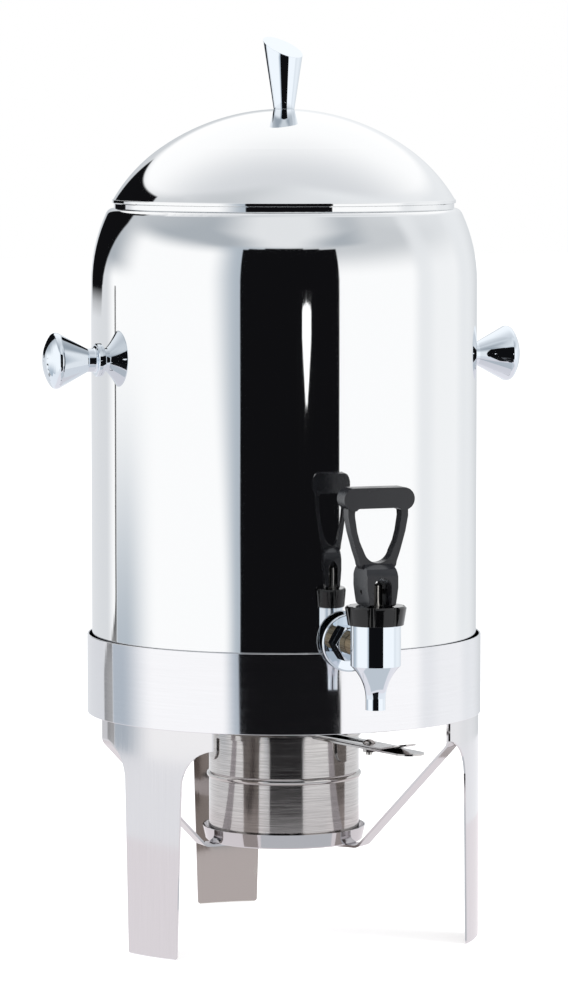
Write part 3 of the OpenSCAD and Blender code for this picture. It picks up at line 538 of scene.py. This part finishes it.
# Zinc-plated steel: small screws and the stem, a dull grey with no clear reflection.
screw_steel = metal_finish(
    "zinc_plated_steel", "#C4C1BD", (0.14, 0.22), 0.6, 0.002, "R", 12, 0.01)
# Turned brass that has dulled to a brown between the turns of its thread.
bare_brass = metal_finish(
    "turned_brass", "#7F7360", (0.22, 0.34), 0.4, 0.003, "R", 12, 0.01, tint=0.3)
print("metal finishes:", 8)

# %% [markdown]
# ## Plastics and rubber
# The lever is moulded in a hard black plastic with a fine, even skin; the screw cap below
# it is the same plastic from a polished mould. The seals are grey silicone rubber. A
# plastic reflects about four hundredths of the light, which its IOR sets.

# %% The recipe for a moulded finish
CLOUD_MM = 14               # size of the patches where the skin is a little duller


def moulded_finish(name, colour, ior, roughness, grain_mm, grain_depth_mm, shift):
    material, tree = new_material(name)
    place = add(tree, "TexCoord").outputs["Object"]
    grain = add(tree, "TexNoise", {
        "Vector": place, "Scale": 1 / (grain_mm * MM), "Detail": 4.0}).outputs[0]
    cloud = add(tree, "TexNoise", {
        "Vector": place, "Scale": 1 / (CLOUD_MM * MM), "Detail": 2.0}).outputs[0]
    rough = add(tree, "MapRange", {
        "Value": cloud, "From Min": 0.3, "From Max": 0.7,
        "To Min": roughness[0], "To Max": roughness[1]})
    skin = add(tree, "Bump", {"Height": grain, "Strength": 1.0, "Distance": grain_depth_mm * MM})
    shade = add(tree, "MapRange", {
        "Value": cloud, "From Min": 0.3, "From Max": 0.7, "To Min": 1 - shift, "To Max": 1.0})
    tinted = add(tree, "Mix", {0: 1.0, 6: linear(colour), 7: shade.outputs["Result"]},
                 data_type="RGBA", blend_type="MULTIPLY")
    show(tree, add(tree, "BsdfPrincipled", {
        "Base Color": tinted.outputs[2], "Roughness": rough.outputs["Result"], "IOR": ior,
        "Normal": skin.outputs[0]}).outputs[0])
    return material


# Phenolic lever: satin black, with soft grey light along its rounded edges.
lever_plastic = moulded_finish(
    "phenolic_moulded_satin", "#25262A", 1.45, (0.2, 0.3), 0.6, 0.002, 0.15)
# The same plastic from a polished mould: deep black with sharp highlights.
bonnet_plastic = moulded_finish(
    "phenolic_moulded_gloss", "#080809", 1.48, (0.07, 0.12), 0.8, 0.001, 0.1)
# Moulded silicone rubber: matt and a little uneven, with no clear reflection.
seal_rubber = moulded_finish(
    "silicone_rubber", "#5A5B5E", 1.41, (0.5, 0.65), 0.3, 0.005, 0.1)
print("moulded finishes:", 3)

# %% [markdown]
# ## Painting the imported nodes
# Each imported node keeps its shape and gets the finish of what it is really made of. A
# list of names under each finish shows at a glance which pieces are alike, and the check
# at the end names any node that was forgotten.

# %% Give each node its finish
finishes = {
    mirror_steel: ["vessel_shell", "vessel_base_pan", "lid_dome", "lid_locating_rim"],
    band_steel: ["stand_band"],
    leg_steel: ["leg_front_left", "leg_front_right", "leg_rear", "support_ring"],
    pressed_steel: ["burner_bracket", "burner_tray"],
    brushed_steel: ["fuel_cup", "cup_cover", "damper_plate"],
    chrome: [
        "lid_knob", "side_knob_left", "side_knob_right", "side_knob_collars",
        "tap_escutcheon", "tap_lock_nut", "tap_valve_body"],
    screw_steel: [
        "lid_knob_screw", "lid_knob_washer", "side_knob_screws", "side_knob_washers",
        "damper_screw", "damper_nut", "tap_stem", "tap_spring", "tap_lever_pin"],
    bare_brass: ["tap_shank", "tap_inner_nut"],
    seal_rubber: ["tap_outer_seal", "tap_inner_seal", "tap_seat_cup"],
    lever_plastic: ["tap_lever"],
    bonnet_plastic: ["tap_bonnet"],
}
for material, names in finishes.items():
    for name in names:
        nodes[name].data.materials.clear()
        nodes[name].data.materials.append(material)
unpainted = sorted(set(nodes) - {n for names in finishes.values() for n in names})
print("nodes without a finish:", unpainted)

# %% [markdown]
# ## The thread on the tap's shank
# The shank is a brass pipe with a thread along its whole length, and a short stretch of
# it shows between the chromed nut and the valve. A thread is one groove that climbs a
# pitch in each turn, so the radius follows the sum of the place along the pipe and the
# place round it. The tube is closed at both ends round its bore.

# %% Cut the thread
THREAD_PITCH = 1.5 * MM
THREAD_DEPTH = 0.55 * MM
THREAD_STEP = 0.25 * MM
SHANK_BORE = 4.5 * MM
AROUND = 60                 # points in one ring of the pipe
shank_low, shank_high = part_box("tap_shank")
shank_r = (shank_high.x - shank_low.x) / 2
shank_z = (shank_high.z + shank_low.z) / 2


def shank_ring(y, radius_at):
    """A ring of points round the pipe, at one place along it."""
    turns = [2 * math.pi * k / AROUND for k in range(AROUND)]
    return [(radius_at(a) * math.cos(a), y, shank_z + radius_at(a) * math.sin(a)) for a in turns]


def thread_radius(y):
    """The radius round one ring: a groove with straight flanks."""
    return lambda a: shank_r - THREAD_DEPTH * abs(
        2 * ((y / THREAD_PITCH + a / (2 * math.pi)) % 1.0) - 1)


count = round((shank_high.y - shank_low.y) / THREAD_STEP)
shank_rings = [shank_ring(shank_low.y, lambda a: SHANK_BORE)]
for i in range(count + 1):
    y = shank_low.y + (shank_high.y - shank_low.y) * i / count
    shank_rings.append(shank_ring(y, thread_radius(y)))
shank_rings.append(shank_ring(shank_high.y, lambda a: SHANK_BORE))
shank_rings.append(shank_rings[0])
thread = grid_object("shank_thread", shank_rings, bare_brass, closed=True)
edit = bmesh.new()
edit.from_mesh(thread.data)
bmesh.ops.remove_doubles(edit, verts=edit.verts, dist=0.001 * MM)
bmesh.ops.recalc_face_normals(edit, faces=edit.faces)
edit.to_mesh(thread.data)
edit.free()
thread.data.polygons.foreach_set("use_smooth", [False] * len(thread.data.polygons))
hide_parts("tap_shank")
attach(thread, "urn")
print("thread turns:", round((shank_high.y - shank_low.y) / THREAD_PITCH))

# %% [markdown]
# ## Soft edges
# No moulded or polished edge is sharp: a narrow round catches a line of light and tells
# the eye how thick the piece is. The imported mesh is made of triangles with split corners,
# so they are welded and each flat area becomes one face before the round is cut.

# %% Round the edges
ROUND_SEGMENTS = 3
FLAT_ANGLE = math.radians(0.4)  # faces closer to level than this are one flat area
EDGE_ANGLE = math.radians(35)   # an edge sharper than this is rounded


def soften(name, width_mm):
    """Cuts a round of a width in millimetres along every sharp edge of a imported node."""
    piece = nodes[name]
    weld = piece.modifiers.new("weld", "WELD")
    weld.merge_threshold = 0.001 * MM
    flats = piece.modifiers.new("flats", "DECIMATE")
    flats.decimate_type = "DISSOLVE"
    flats.angle_limit = FLAT_ANGLE
    edges = piece.modifiers.new("edges", "BEVEL")
    edges.width = width_mm * MM
    edges.segments = ROUND_SEGMENTS
    edges.limit_method = "ANGLE"
    edges.angle_limit = EDGE_ANGLE
    edges.miter_outer = "MITER_ARC"
    shading = piece.modifiers.new("shading", "WEIGHTED_NORMAL")
    shading.keep_sharp = False


edge_rounds_mm = {
    "tap_lever": 1.1, "stand_band": 0.35, "burner_bracket": 0.25, "tap_bonnet": 0.5,
    "lid_knob": 0.45, "tap_lock_nut": 0.35, "tap_escutcheon": 0.3, "tap_valve_body": 0.35,
    "leg_front_left": 0.3, "leg_front_right": 0.3, "leg_rear": 0.3, "cup_cover": 0.25,
    "damper_plate": 0.2,
}
for name, width_mm in edge_rounds_mm.items():
    soften(name, width_mm)
print("softened nodes:", len(edge_rounds_mm))
